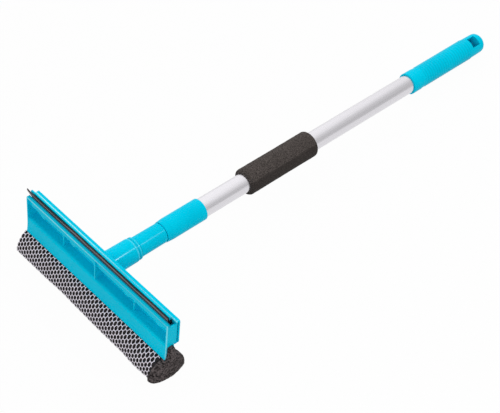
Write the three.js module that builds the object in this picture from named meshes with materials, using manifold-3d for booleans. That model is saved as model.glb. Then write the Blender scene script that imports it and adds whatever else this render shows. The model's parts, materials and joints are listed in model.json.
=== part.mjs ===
// Window washer: a squeegee blade and a net-covered sponge on one moulded head, with a screw-in pole.
// Millimetres. The parts are drawn in the head's frame: the pole's axis is Y, +Y runs from the head's
// back face to the hang hole, X runs along the blade and +Z is the blade's side. The whole washer is
// then tipped until the sponge and the end grip both lie on the floor, z = 0.
import * as THREE from "three";
import { mergeVertices } from "three/addons/utils/BufferGeometryUtils.js";
import Module from "manifold-3d";

// ---- clearances
const SEAT_GAP = 0.2; // between pieces that rest on each other
const SLIDE_GAP = 0.15; // round a tube pushed into a socket
const THREAD_GAP = 0.4; // between the spigot and the threaded neck, all round

// ---- head: heights are from the pole's axis, depths from the cover's back face
const HEAD_LENGTH = 203;
const HEAD_DEPTH = 14.4;
const WALL = 1.6; // moulded walls of the housing
const LEDGE_HEIGHT = 18.2; // top of the front ledge
const LEDGE_THICKNESS = 1.4;
const LEDGE_WIDTH = 3.7; // front edge of the ledge to the blade channel
const CHANNEL_DEPTH = 8.6; // ledge's top to the channel's floor
const REAR_WALL_FRONT = 3.7; // depth of the rear wall's front face
const REAR_WALL_BACK = 2.4;
const TRAY_HEIGHT = -9; // top of the long tray under the ledge
const APRON_DROP = 28; // pole's axis to the tip of the front apron
const APRON_FLARE = 1.1; // how far the apron's tip stands in front of the ledge
const APRON_TIP = 1.3; // thickness of both aprons at their tips
const NECK_SLOT = 6; // opening between the aprons, at the tray
const REAR_APRON_FLARE = 1.6;
const END_WALL_TOP = 14.2; // lower than the ledge, so that the blade slides out over it
const END_WALL_DROP = 12; // pole's axis to the end wall's lower edge

const FIN_THICKNESS = 1.5;
const HALF_FIN_SHARE = 0.505; // place of the two short fins, as a share of half the head
const HALF_FIN_DEPTH = 10;
const BOSS_SHARES = [0.384, 0.828]; // places of the screw bosses
const BOSS_WIDTH = 8;
const BOSS_FRONT = 8.8; // depth of the bosses' closed front faces
const BOSS_HEIGHT = 3.2; // height of the screws' axes

// ---- rear cover and socket
const COVER_HEIGHT = 17.6;
const COVER_DROP = 13.4;
const COVER_PLATE = 1.2;
const COVER_OVERHANG = 0.9; // past each end of the housing
const COVER_LIP = 1.2; // thickness of the lips along its top and bottom edges
const COVER_TOP_LIP_FRONT = 3.9; // depth of the top lip's front edge
const COVER_BOTTOM_LIP_FRONT = 4.5;
const COVER_CORNER = 2;

const SOCKET_RADIUS = 12.55; // at the cover
const SOCKET_TAPER = 0.3; // how much less it is at the step
const SOCKET_LENGTH = 30;
const STEP_BAND_RADIUS = 11.8; // bead between the socket and its neck
const STEP_BAND_LENGTH = 3;
const STEP_GROOVE = 0.6; // depth of the groove between the socket and the bead
const NECK_RADIUS = 10.5;
const NECK_END_RADIUS = 10.3;
const NECK_END = 65.6; // the seam, from the cover's back face
const THREAD_RADIUS = 7.6; // bore of the neck
const THREAD_FLOOR = 26; // how far the bore stops from the cover
const GUSSET_REACH = 22; // from the pole's axis
const GUSSET_LENGTH = 16;
const GUSSET_THICKNESS = 2.2;

// ---- screws that hold the cover
const SCREW_RADIUS = 1.4;
const SCREW_LENGTH = 6.6; // under the head
const SCREW_HEAD_RADIUS = 2.8;
const SCREW_HEAD_HEIGHT = 1.7;

// ---- blade and the strip that holds it
const FOOT_HEIGHT = 5; // of the blade's foot in the channel
const LIP_THICKNESS = 1.3;
const LIP_DEPTH = 7.8; // depth of the lip's back face
const LIP_ABOVE_LEDGE = 1.8;
const LIP_TIP = 2.4; // height of the lip at its tapered left end
const BLADE_SHIFT = 5.6; // how far blade and strip stand out past the left end
const STRIP_WIDTH = 2;
const STRIP_ABOVE_COVER = 0.3;

// ---- sponge and net: points of the net's outer face, as depth and height from the pole's axis
const SPONGE_PAST_LEFT = 2; // how far the sponge stands out past the head's left end
const SPONGE_PAST_RIGHT = 2.5;
const NET_PAST_LEFT = 1.5;
const NET_SHORT_RIGHT = 6; // how far the net stops from the head's right end
const NET_THICKNESS = 0.7;
const NET_GAP = 0.25; // on both sides of the net
const SPONGE_SHOULDER = [-24, -37.2]; // where the slope under the apron turns into the front
const SPONGE_NOSE = [-27.4, -47.5];
const SPONGE_REST = [-9.5, -52.24]; // middle of the flat that lies on the floor
const SPONGE_REST_WIDTH = 14;
const SPONGE_BACK = [7.3, -46.5];

// ---- pole
const TUBE_RADIUS = 10;
const TUBE_WALL = 1;
const TUBE_START = 77;
const TUBE_END = 497;
const SEAM_GAP = 0.4;
const FERRULE_RADIUS = 11.45;
const FERRULE_MOUTH_RADIUS = 10.8; // at the seam
const FERRULE_FLARE = 8; // length over which it widens
const FERRULE_END = 115;
const SPIGOT_LENGTH = 34;
const FOAM_START = 172;
const FOAM_LENGTH = 91;
const FOAM_RADIUS = 14.05;
const FOAM_ROUND = 3;
const GRIP_START = 410;
const GRIP_END = 526.5;
const GRIP_BAND_RADIUS = 11.9;
const GRIP_BAND_LENGTH = 12;
const GRIP_RADIUS = 11.4;
const GRIP_TIP_RADIUS = 11;
const GRIP_DOME = 6; // length of the rounded end
const GRIP_FLAT_RADIUS = 4.5; // of the flat in the middle of the rounded end
const RIB_PITCH = 3.6;
const RIB_COUNT = 21;
const RIB_HEIGHT = 0.4;
const RIB_FIRST = 428;
const HANG_HOLE_LENGTH = 11;
const HANG_HOLE_WIDTH = 11.6;
const HANG_HOLE_TO_TIP = 15.1; // middle of the hole to the grip's tip
const POLE_TURN = THREE.MathUtils.degToRad(20); // how far the tightened pole's hole is turned from upright

const ROUND = 48; // facets round the pole's pieces

// ---- solids
const wasm = await Module();
wasm.setup();

function solid(geometry) {
  const bare = geometry.clone();
  bare.deleteAttribute("normal");
  bare.deleteAttribute("uv");
  const merged = mergeVertices(bare, 1e-4);
  const triVerts = new Uint32Array(merged.index.array);
  const make = () => new wasm.Manifold(new wasm.Mesh({
    numProp: 3,
    vertProperties: new Float32Array(merged.attributes.position.array),
    triVerts,
  }));
  const made = make();
  if (made.volume() > 0) return made;
  for (let i = 0; i < triVerts.length; i += 3) {
    [triVerts[i + 1], triVerts[i + 2]] = [triVerts[i + 2], triVerts[i + 1]];
  }
  return make();
}

function joined(solids) {
  return solids.reduce((whole, next) => whole.add(next));
}

function piece(name, shape, material) {
  const { vertProperties, triVerts } = shape.getMesh();
  const geometry = new THREE.BufferGeometry();
  geometry.setAttribute("position", new THREE.BufferAttribute(vertProperties, 3));
  geometry.setIndex(new THREE.BufferAttribute(triVerts, 1));
  const mesh = new THREE.Mesh(geometry.toNonIndexed(), material);
  mesh.geometry.computeVertexNormals();
  mesh.name = name;
  return mesh;
}

// A section drawn as (y, z), swept along X from one end to the other.
function sweptAlongX(section, from, to, curveSegments = 6) {
  const depth = to - from;
  const geometry = new THREE.ExtrudeGeometry(section, { depth, bevelEnabled: false, curveSegments });
  const turn = new THREE.Matrix4().makeBasis(
    new THREE.Vector3(0, 1, 0),
    new THREE.Vector3(0, 0, 1),
    new THREE.Vector3(1, 0, 0),
  );
  geometry.applyMatrix4(turn);
  geometry.translate(from, 0, 0);
  return solid(geometry);
}

// An outline drawn as (x, z), swept along Y.
function sweptAlongY(outline, from, to, curveSegments = 8) {
  const depth = to - from;
  const geometry = new THREE.ExtrudeGeometry(outline, { depth, bevelEnabled: false, curveSegments });
  geometry.rotateX(Math.PI / 2);
  geometry.translate(0, to, 0);
  return solid(geometry);
}

// A profile of (radius, y) points, turned round the pole's axis.
function turned(profile, segments = ROUND) {
  const points = profile.map(([radius, y]) => new THREE.Vector2(radius, y));
  return solid(new THREE.LatheGeometry(points, segments));
}

// A plain rod on the pole's axis.
function rod(radius, from, to) {
  return turned([[0, from], [radius, from], [radius, to], [0, to]]);
}

function polygon(points) {
  return new THREE.Shape(points.map(([a, b]) => new THREE.Vector2(a, b)));
}

function box(centre, size) {
  const geometry = new THREE.BoxGeometry(...size);
  geometry.translate(...centre);
  return solid(geometry);
}

function circle(x, z, radius) {
  const outline = new THREE.Shape();
  outline.absarc(x, z, radius, 0, 2 * Math.PI);
  return outline;
}

function plastic(color, roughness = 0.38) {
  return new THREE.MeshStandardMaterial({ color, roughness, metalness: 0 });
}

// ---- materials
const tealPlastic = () => plastic("#00b9d6");
const blackRubber = () => plastic("#2e2426", 0.6);
const charcoalFoam = () => plastic("#47413f", 0.95);
const netThread = () => plastic("#d6cfd8", 0.8);
const aluminium = () => new THREE.MeshStandardMaterial({ color: "#d9d8dc", roughness: 0.3, metalness: 0.9 });
const steel = () => new THREE.MeshStandardMaterial({ color: "#b9bcc0", roughness: 0.35, metalness: 1 });

// ---- front housing
const HALF_HEAD = HEAD_LENGTH / 2;
const CHANNEL_FLOOR = LEDGE_HEIGHT - CHANNEL_DEPTH;
const CHANNEL_FRONT = HEAD_DEPTH - LEDGE_WIDTH;
const TRAY_UNDERSIDE = TRAY_HEIGHT - WALL;
const REAR_WALL_TOP = COVER_HEIGHT - COVER_LIP - SEAT_GAP;
const REAR_WALL_BOTTOM = -COVER_DROP + COVER_LIP + SEAT_GAP;
const FRONT_APRON_BACK = HEAD_DEPTH - WALL; // depth of the front apron's inner face at the tray
const REAR_APRON_FRONT = FRONT_APRON_BACK - NECK_SLOT;

function housingSection() {
  const rounding = 0.6;
  const traySoft = 3;
  const tipFront = HEAD_DEPTH + APRON_FLARE;
  const section = new THREE.Shape();
  section.moveTo(-HEAD_DEPTH + rounding, LEDGE_HEIGHT);
  section.lineTo(-CHANNEL_FRONT, LEDGE_HEIGHT);
  section.lineTo(-CHANNEL_FRONT, CHANNEL_FLOOR);
  section.lineTo(-REAR_WALL_FRONT, CHANNEL_FLOOR);
  section.lineTo(-REAR_WALL_FRONT, REAR_WALL_TOP);
  section.lineTo(-REAR_WALL_BACK, REAR_WALL_TOP);
  section.lineTo(-REAR_WALL_BACK, REAR_WALL_BOTTOM);
  section.lineTo(-REAR_WALL_FRONT, REAR_WALL_BOTTOM);
  section.lineTo(-REAR_WALL_FRONT, TRAY_UNDERSIDE);
  section.lineTo(-REAR_APRON_FRONT + WALL, TRAY_UNDERSIDE);
  section.lineTo(-REAR_APRON_FRONT + REAR_APRON_FLARE + APRON_TIP, -APRON_DROP);
  section.lineTo(-REAR_APRON_FRONT + REAR_APRON_FLARE, -APRON_DROP);
  section.lineTo(-REAR_APRON_FRONT, TRAY_UNDERSIDE);
  section.lineTo(-FRONT_APRON_BACK, TRAY_UNDERSIDE);
  section.quadraticCurveTo(-FRONT_APRON_BACK, -APRON_DROP + 6, -tipFront + APRON_TIP, -APRON_DROP);
  section.lineTo(-tipFront, -APRON_DROP);
  section.quadraticCurveTo(-HEAD_DEPTH, -APRON_DROP + 7, -HEAD_DEPTH, TRAY_HEIGHT - traySoft);
  section.quadraticCurveTo(-HEAD_DEPTH, TRAY_HEIGHT, -HEAD_DEPTH + traySoft, TRAY_HEIGHT);
  section.lineTo(-REAR_WALL_FRONT - rounding, TRAY_HEIGHT);
  section.lineTo(-REAR_WALL_FRONT, TRAY_HEIGHT + rounding);
  section.lineTo(-REAR_WALL_FRONT, CHANNEL_FLOOR - WALL);
  section.lineTo(-CHANNEL_FRONT - LEDGE_THICKNESS, CHANNEL_FLOOR - WALL);
  section.lineTo(-CHANNEL_FRONT - LEDGE_THICKNESS, LEDGE_HEIGHT - LEDGE_THICKNESS);
  section.lineTo(-HEAD_DEPTH, LEDGE_HEIGHT - LEDGE_THICKNESS);
  section.lineTo(-HEAD_DEPTH, LEDGE_HEIGHT - rounding);
  section.quadraticCurveTo(-HEAD_DEPTH, LEDGE_HEIGHT, -HEAD_DEPTH + rounding, LEDGE_HEIGHT);
  return section;
}

// The plate that closes each end, cut down behind the ledge where the blade passes over it.
function endWallSection() {
  return polygon([
    [-HEAD_DEPTH, LEDGE_HEIGHT - 0.6],
    [-HEAD_DEPTH + 0.6, LEDGE_HEIGHT],
    [-CHANNEL_FRONT, LEDGE_HEIGHT],
    [-CHANNEL_FRONT + 0.4, END_WALL_TOP],
    [-REAR_WALL_FRONT, END_WALL_TOP],
    [-REAR_WALL_BACK, END_WALL_TOP],
    [-REAR_WALL_BACK, REAR_WALL_BOTTOM],
    [-FRONT_APRON_BACK, -END_WALL_DROP],
    [-HEAD_DEPTH, -END_WALL_DROP],
  ]);
}

function finSection(depth) {
  const underLedge = LEDGE_HEIGHT - LEDGE_THICKNESS;
  const channelFace = CHANNEL_FRONT + LEDGE_THICKNESS;
  const points = [
    [-REAR_WALL_FRONT, CHANNEL_FLOOR - WALL],
    [-REAR_WALL_FRONT, TRAY_HEIGHT],
    [-depth, TRAY_HEIGHT],
  ];
  if (depth > channelFace) {
    points.push([-depth, underLedge], [-channelFace, underLedge], [-channelFace, CHANNEL_FLOOR - WALL]);
  } else {
    points.push([-depth, CHANNEL_FLOOR - WALL]);
  }
  return polygon(points);
}

// A round-bottomed boss that hangs under the channel and takes a screw from behind.
function bossOutline(x) {
  const half = BOSS_WIDTH / 2;
  const outline = new THREE.Shape();
  outline.moveTo(x - half, CHANNEL_FLOOR - WALL);
  outline.lineTo(x - half, BOSS_HEIGHT);
  outline.absarc(x, BOSS_HEIGHT, half, Math.PI, 2 * Math.PI);
  outline.lineTo(x + half, CHANNEL_FLOOR - WALL);
  return outline;
}

const screwPlaces = BOSS_SHARES.map((share) => share * HALF_HEAD)
  .flatMap((x) => [-x, x])
  .sort((a, b) => a - b);

function frontHousing() {
  const body = joined([
    sweptAlongX(housingSection(), -HALF_HEAD, HALF_HEAD),
    sweptAlongX(endWallSection(), -HALF_HEAD, -HALF_HEAD + WALL),
    sweptAlongX(endWallSection(), HALF_HEAD - WALL, HALF_HEAD),
    sweptAlongX(finSection(HEAD_DEPTH - 0.2), -FIN_THICKNESS / 2, FIN_THICKNESS / 2),
    ...[-HALF_FIN_SHARE * HALF_HEAD, HALF_FIN_SHARE * HALF_HEAD].map((x) =>
      sweptAlongX(finSection(HALF_FIN_DEPTH), x - FIN_THICKNESS / 2, x + FIN_THICKNESS / 2)),
    ...screwPlaces.map((x) => sweptAlongY(bossOutline(x), -BOSS_FRONT, -REAR_WALL_BACK)),
  ]);
  const pilotHoles = joined(screwPlaces.map((x) =>
    sweptAlongY(circle(x, BOSS_HEIGHT, SCREW_RADIUS + SLIDE_GAP), -BOSS_FRONT + 1, 0)));
  return body.subtract(pilotHoles);
}

// ---- rear cover with the threaded socket
function coverSection() {
  const soft = 0.8; // rounding of the top lip's front edge
  const section = new THREE.Shape();
  section.moveTo(0, COVER_HEIGHT);
  section.lineTo(0, -COVER_DROP);
  section.lineTo(-COVER_BOTTOM_LIP_FRONT, -COVER_DROP);
  section.lineTo(-COVER_BOTTOM_LIP_FRONT, -COVER_DROP + COVER_LIP);
  section.lineTo(-COVER_PLATE, -COVER_DROP + COVER_LIP);
  section.lineTo(-COVER_PLATE, COVER_HEIGHT - COVER_LIP);
  section.lineTo(-COVER_TOP_LIP_FRONT, COVER_HEIGHT - COVER_LIP);
  section.lineTo(-COVER_TOP_LIP_FRONT, COVER_HEIGHT - soft);
  section.quadraticCurveTo(-COVER_TOP_LIP_FRONT, COVER_HEIGHT, -COVER_TOP_LIP_FRONT + soft, COVER_HEIGHT);
  return section;
}

function coverOutline() {
  const half = HALF_HEAD + COVER_OVERHANG;
  const r = COVER_CORNER;
  const outline = new THREE.Shape();
  outline.moveTo(-half, -COVER_DROP + r);
  outline.lineTo(-half, COVER_HEIGHT - r);
  outline.quadraticCurveTo(-half, COVER_HEIGHT, -half + r, COVER_HEIGHT);
  outline.lineTo(half - r, COVER_HEIGHT);
  outline.quadraticCurveTo(half, COVER_HEIGHT, half, COVER_HEIGHT - r);
  outline.lineTo(half, -COVER_DROP + r);
  outline.quadraticCurveTo(half, -COVER_DROP, half - r, -COVER_DROP);
  outline.lineTo(-half + r, -COVER_DROP);
  outline.quadraticCurveTo(-half, -COVER_DROP, -half, -COVER_DROP + r);
  return outline;
}

function socketBody() {
  const soft = 0.7; // rounding of the socket's end and of the bead
  const groove = STEP_BAND_RADIUS - STEP_GROOVE;
  const bandStart = SOCKET_LENGTH + 1.4;
  const bandEnd = bandStart + STEP_BAND_LENGTH;
  return turned([
    [0, -COVER_PLATE / 2],
    [SOCKET_RADIUS, -COVER_PLATE / 2],
    [SOCKET_RADIUS, 1],
    [SOCKET_RADIUS - SOCKET_TAPER, SOCKET_LENGTH - soft],
    [SOCKET_RADIUS - SOCKET_TAPER - soft / 3, SOCKET_LENGTH],
    [groove, SOCKET_LENGTH + soft],
    [groove, bandStart],
    [STEP_BAND_RADIUS, bandStart + soft],
    [STEP_BAND_RADIUS, bandEnd - soft],
    [NECK_RADIUS + 0.2, bandEnd],
    [NECK_RADIUS, bandEnd + 2],
    [NECK_END_RADIUS + 0.05, NECK_END - 0.5],
    [NECK_END_RADIUS - 0.4, NECK_END],
    [0, NECK_END],
  ]);
}

function gussets() {
  const root = SOCKET_RADIUS - 1;
  const outline = new THREE.Shape();
  outline.moveTo(-GUSSET_REACH, -COVER_PLATE / 2);
  outline.lineTo(-root, -COVER_PLATE / 2);
  outline.lineTo(-root, GUSSET_LENGTH);
  outline.lineTo(-SOCKET_RADIUS, GUSSET_LENGTH);
  outline.quadraticCurveTo(-SOCKET_RADIUS - 2, GUSSET_LENGTH / 3, -GUSSET_REACH, 1);
  const depth = GUSSET_THICKNESS;
  const geometry = new THREE.ExtrudeGeometry(outline, { depth, bevelEnabled: false, curveSegments: 6 });
  geometry.translate(0, 0, -GUSSET_THICKNESS / 2);
  const left = solid(geometry);
  return left.add(left.mirror([1, 0, 0]));
}

function rearCover() {
  const half = HALF_HEAD + COVER_OVERHANG;
  const tray = sweptAlongX(coverSection(), -half, half)
    .intersect(sweptAlongY(coverOutline(), -COVER_BOTTOM_LIP_FRONT - 1, 1));
  const padEnd = -REAR_WALL_BACK + SEAT_GAP;
  const pads = screwPlaces.map((x) =>
    sweptAlongY(circle(x, BOSS_HEIGHT, BOSS_WIDTH / 2 - 0.5), padEnd, -COVER_PLATE / 2));
  const screwHoles = screwPlaces.map((x) =>
    sweptAlongY(circle(x, BOSS_HEIGHT, SCREW_RADIUS + SLIDE_GAP), -REAR_WALL_BACK, 1));
  const bore = rod(THREAD_RADIUS, THREAD_FLOOR, NECK_END + 1);
  return joined([tray, socketBody(), gussets(), ...pads]).subtract(joined([bore, ...screwHoles]));
}

function coverScrew(x) {
  const tip = SCREW_LENGTH - 1;
  const shape = turned([
    [0, -SCREW_LENGTH],
    [SCREW_RADIUS * 0.3, -SCREW_LENGTH],
    [SCREW_RADIUS, -tip],
    [SCREW_RADIUS, SEAT_GAP / 2],
    [SCREW_HEAD_RADIUS, SEAT_GAP / 2],
    [SCREW_HEAD_RADIUS, SCREW_HEAD_HEIGHT / 2],
    [SCREW_HEAD_RADIUS * 0.7, SCREW_HEAD_HEIGHT],
    [0, SCREW_HEAD_HEIGHT],
  ], 20);
  const driveWidth = 0.7;
  const driveLength = SCREW_HEAD_RADIUS * 1.2;
  const slotDepth = 0.8;
  const slot = box([0, SCREW_HEAD_HEIGHT, 0], [driveLength, slotDepth * 2, driveWidth]);
  const crossSlot = box([0, SCREW_HEAD_HEIGHT, 0], [driveWidth, slotDepth * 2, driveLength]);
  return shape.subtract(slot.add(crossSlot)).translate([x, 0, BOSS_HEIGHT]);
}

// ---- blade and its strip
const LIP_TOP = LEDGE_HEIGHT + LIP_ABOVE_LEDGE;
const FOOT_BOTTOM = CHANNEL_FLOOR + SEAT_GAP;
const FOOT_TOP = FOOT_BOTTOM + FOOT_HEIGHT;
const BLADE_LEFT = -HALF_HEAD - BLADE_SHIFT;
const BLADE_RIGHT = HALF_HEAD - BLADE_SHIFT;

function blade() {
  const insideEndWalls = HALF_HEAD - WALL - SEAT_GAP;
  const lipFront = LIP_DEPTH + LIP_THICKNESS;
  const foot = polygon([
    [-CHANNEL_FRONT + SEAT_GAP, FOOT_BOTTOM],
    [-REAR_WALL_FRONT - SEAT_GAP, FOOT_BOTTOM],
    [-REAR_WALL_FRONT - SEAT_GAP, FOOT_TOP - 0.6],
    [-CHANNEL_FRONT + SEAT_GAP, FOOT_TOP - 0.6],
  ]);
  const root = polygon([
    [-lipFront - 0.7, FOOT_TOP - 1],
    [-LIP_DEPTH, FOOT_TOP - 1],
    [-LIP_DEPTH, FOOT_TOP + 1],
    [-lipFront, FOOT_TOP + 0.6],
  ]);
  const lip = polygon([
    [-lipFront, END_WALL_TOP + SEAT_GAP],
    [-LIP_DEPTH, END_WALL_TOP + SEAT_GAP],
    [-LIP_DEPTH - 0.1, LIP_TOP - 0.2],
    [-LIP_DEPTH - 0.3, LIP_TOP],
    [-lipFront + 0.3, LIP_TOP],
    [-lipFront + 0.1, LIP_TOP - 0.2],
  ]);
  const underTip = polygon([
    [BLADE_LEFT - 1, END_WALL_TOP],
    [-HALF_HEAD, END_WALL_TOP],
    [BLADE_LEFT, LIP_TOP - LIP_TIP],
    [BLADE_LEFT - 1, LIP_TOP - LIP_TIP],
  ]);
  return joined([
    sweptAlongX(foot, -insideEndWalls, BLADE_RIGHT),
    sweptAlongX(root, -insideEndWalls, BLADE_RIGHT),
    sweptAlongX(lip, BLADE_LEFT, BLADE_RIGHT),
  ]).subtract(sweptAlongY(underTip, -HEAD_DEPTH, 0));
}

function bladeStrip() {
  const back = REAR_WALL_FRONT + SEAT_GAP + 0.2;
  const front = back + STRIP_WIDTH;
  const top = COVER_HEIGHT + STRIP_ABOVE_COVER;
  const bottom = Math.max(FOOT_TOP - 0.6, END_WALL_TOP) + SEAT_GAP;
  const soft = 0.4;
  const section = new THREE.Shape();
  section.moveTo(-back, bottom);
  section.lineTo(-back, top - soft);
  section.quadraticCurveTo(-back, top, -back - soft, top);
  section.lineTo(-front + soft, top);
  section.quadraticCurveTo(-front, top, -front, top - soft);
  section.lineTo(-front, bottom);
  return sweptAlongX(section, BLADE_LEFT + 1.4, BLADE_RIGHT - 1.4, 4);
}

// ---- rest on the floor: the line that touches the net and the end grip's last full circle
const GRIP_REST = [GRIP_END - GRIP_DOME, -GRIP_TIP_RADIUS];
const FLOOR_TILT = Math.atan2(GRIP_REST[1] - SPONGE_REST[1], GRIP_REST[0] - SPONGE_REST[0]);

// ---- sponge and net
const SPONGE_TOP = -END_WALL_DROP - SEAT_GAP;

// Carries a path on to a point in one smooth curve. Directions are in degrees: 0 forwards, 90 down.
function curveOn(path, [y, z], leaving, arriving) {
  const from = path.currentPoint.clone();
  const to = new THREE.Vector2(y, z);
  const pull = from.distanceTo(to) * 0.38;
  const heading = (degrees) => {
    const angle = THREE.MathUtils.degToRad(degrees);
    return new THREE.Vector2(-Math.cos(angle), -Math.sin(angle)).multiplyScalar(pull);
  };
  const first = from.clone().add(heading(leaving));
  const second = to.clone().sub(heading(arriving));
  path.bezierCurveTo(first.x, first.y, second.x, second.y, to.x, to.y);
}

// The net's outer face, in order: down the inside of the front apron, round its tip and down the
// front, along the floor, up the back and in behind the rear apron.
function netOuterPath() {
  const inside = -FRONT_APRON_BACK + NET_GAP;
  const underAprons = -APRON_DROP - NET_GAP;
  const frontTip = -HEAD_DEPTH - APRON_FLARE;
  const rearTip = -REAR_APRON_FRONT + REAR_APRON_FLARE;
  const tilt = THREE.MathUtils.radToDeg(FLOOR_TILT);
  const half = SPONGE_REST_WIDTH / 2;
  const rise = Math.tan(FLOOR_TILT) * half;
  const [restY, restZ] = SPONGE_REST;
  const path = new THREE.Path();
  path.moveTo(inside, SPONGE_TOP);
  path.quadraticCurveTo(inside, -APRON_DROP + 6, frontTip + APRON_TIP + NET_GAP, underAprons);
  path.lineTo(frontTip - NET_GAP, underAprons);
  curveOn(path, SPONGE_SHOULDER, 24, 62);
  curveOn(path, SPONGE_NOSE, 62, 84);
  curveOn(path, [restY - half, restZ - rise], 84, 180 + tilt);
  path.lineTo(restY + half, restZ + rise);
  curveOn(path, SPONGE_BACK, 180 + tilt, 275);
  curveOn(path, [rearTip + APRON_TIP + NET_GAP, underAprons], 275, 345);
  path.lineTo(rearTip - NET_GAP, underAprons);
  path.lineTo(-REAR_APRON_FRONT - NET_GAP, SPONGE_TOP);
  return path.getPoints(7);
}

// The path moved sideways by a distance, towards the sponge.
function inset(points, distance) {
  return points.map((point, i) => {
    const before = points[Math.max(i - 1, 0)];
    const after = points[Math.min(i + 1, points.length - 1)];
    const along = new THREE.Vector2().subVectors(after, before).normalize();
    return new THREE.Vector2(point.x - along.y * distance, point.y + along.x * distance);
  });
}

const NET_LEFT = -HALF_HEAD - NET_PAST_LEFT;
const NET_RIGHT = HALF_HEAD - NET_SHORT_RIGHT;

// The foam inside the net, and its bare right end, which stands as high as the net's outer face.
function sponge() {
  const outer = netOuterPath();
  const core = new THREE.Shape(inset(outer, NET_THICKNESS + NET_GAP));
  const bareFrom = NET_RIGHT + NET_GAP;
  const end = HALF_HEAD + SPONGE_PAST_RIGHT;
  return sweptAlongX(core, -HALF_HEAD - SPONGE_PAST_LEFT, bareFrom + 1)
    .add(sweptAlongX(new THREE.Shape(outer), bareFrom, end));
}

function net() {
  const outer = netOuterPath();
  const inner = inset(outer, NET_THICKNESS).reverse();
  return sweptAlongX(new THREE.Shape([...outer, ...inner]), NET_LEFT, NET_RIGHT);
}

// ---- pole
function ferrule() {
  const start = NECK_END + SEAM_GAP;
  const spigot = THREAD_RADIUS - THREAD_GAP;
  const bore = TUBE_RADIUS + SLIDE_GAP;
  const floor = TUBE_START - SEAT_GAP;
  const soft = 0.5;
  return turned([
    [0, start - SPIGOT_LENGTH],
    [spigot - 1, start - SPIGOT_LENGTH],
    [spigot, start - SPIGOT_LENGTH + 1],
    [spigot, start],
    [FERRULE_MOUTH_RADIUS - soft, start],
    [FERRULE_MOUTH_RADIUS, start + soft],
    [FERRULE_RADIUS - 0.1, start + FERRULE_FLARE * 0.75],
    [FERRULE_RADIUS, start + FERRULE_FLARE],
    [FERRULE_RADIUS, FERRULE_END - soft],
    [FERRULE_RADIUS - soft, FERRULE_END],
    [bore, FERRULE_END],
    [bore, floor],
    [0, floor],
  ]);
}

function tube() {
  const inner = TUBE_RADIUS - TUBE_WALL;
  return turned([
    [inner, TUBE_START],
    [TUBE_RADIUS, TUBE_START],
    [TUBE_RADIUS, TUBE_END],
    [inner, TUBE_END],
    [inner, TUBE_START],
  ]);
}

function foamGrip() {
  const end = FOAM_START + FOAM_LENGTH;
  const bore = TUBE_RADIUS + SLIDE_GAP;
  const corner = (y, inwards) => [0, 1, 2, 3].map((step) => {
    const angle = (step / 3) * (Math.PI / 2);
    const along = FOAM_ROUND * (1 - Math.sin(angle));
    return [FOAM_RADIUS - FOAM_ROUND * (1 - Math.cos(Math.PI / 2 - angle)), y + inwards * along];
  });
  const first = corner(FOAM_START, 1);
  const last = corner(end, -1).reverse();
  return turned([[bore, FOAM_START], ...first, ...last, [bore, end], [bore, FOAM_START]]);
}

function gripProfile() {
  const bandEnd = GRIP_START + GRIP_BAND_LENGTH;
  const domeStart = GRIP_END - GRIP_DOME;
  const ribs = Array.from({ length: RIB_COUNT }, (_, rib) => RIB_FIRST + rib * RIB_PITCH)
    .flatMap((y) => [[GRIP_RADIUS, y], [GRIP_RADIUS + RIB_HEIGHT, y + RIB_PITCH / 2]]);
  const dome = [1, 2, 3, 4].map((step) => {
    const angle = (step / 4) * (Math.PI / 2);
    const drop = GRIP_TIP_RADIUS - GRIP_FLAT_RADIUS;
    return [GRIP_FLAT_RADIUS + drop * Math.cos(angle), domeStart + GRIP_DOME * Math.sin(angle)];
  });
  return [
    [0, GRIP_START],
    [GRIP_BAND_RADIUS - 0.5, GRIP_START],
    [GRIP_BAND_RADIUS, GRIP_START + 0.5],
    [GRIP_BAND_RADIUS, bandEnd],
    [GRIP_RADIUS, bandEnd + 3],
    ...ribs,
    [GRIP_RADIUS, RIB_FIRST + RIB_COUNT * RIB_PITCH],
    [GRIP_TIP_RADIUS, domeStart],
    ...dome,
    [0, GRIP_END],
  ];
}

const HANG_HOLE_Y = GRIP_END - HANG_HOLE_TO_TIP;

function endGrip() {
  const degrees = THREE.MathUtils.radToDeg(POLE_TURN);
  const bore = rod(TUBE_RADIUS + SLIDE_GAP, GRIP_START - 1, TUBE_END + SEAT_GAP);
  const hole = box([0, HANG_HOLE_Y, 0], [HANG_HOLE_WIDTH, HANG_HOLE_LENGTH, GRIP_BAND_RADIUS * 3])
    .rotate([0, degrees, 0]);
  return turned(gripProfile()).subtract(bore.add(hole));
}

// ---- assembly
const head = new THREE.Group();
head.add(
  piece("front_housing", frontHousing(), tealPlastic()),
  piece("rear_cover", rearCover(), tealPlastic()),
  piece("squeegee_blade", blade(), blackRubber()),
  piece("blade_strip", bladeStrip(), tealPlastic()),
  piece("sponge", sponge(), charcoalFoam()),
  piece("sponge_net", net(), netThread()),
);
screwPlaces.forEach((x, i) => head.add(piece(`cover_screw_${i + 1}`, coverScrew(x), steel())));

const pole = new THREE.Group();
pole.add(
  piece("ferrule", ferrule(), tealPlastic()),
  piece("pole_tube", tube(), aluminium()),
  piece("foam_grip", foamGrip(), charcoalFoam()),
  piece("end_grip", endGrip(), tealPlastic()),
);

const washer = new THREE.Group();
washer.add(head, pole);
washer.rotation.x = -FLOOR_TILT;
washer.updateMatrixWorld(true);
const extent = new THREE.Box3().setFromObject(washer, true);
const middle = extent.getCenter(new THREE.Vector3());
washer.position.set(-middle.x, -middle.y, -extent.min.z);

const windowWasher = new THREE.Group();
windowWasher.add(washer);
export default windowWasher;
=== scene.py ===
import json
import math

import bmesh
import bpy
from mathutils import Matrix, Vector, noise

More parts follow.
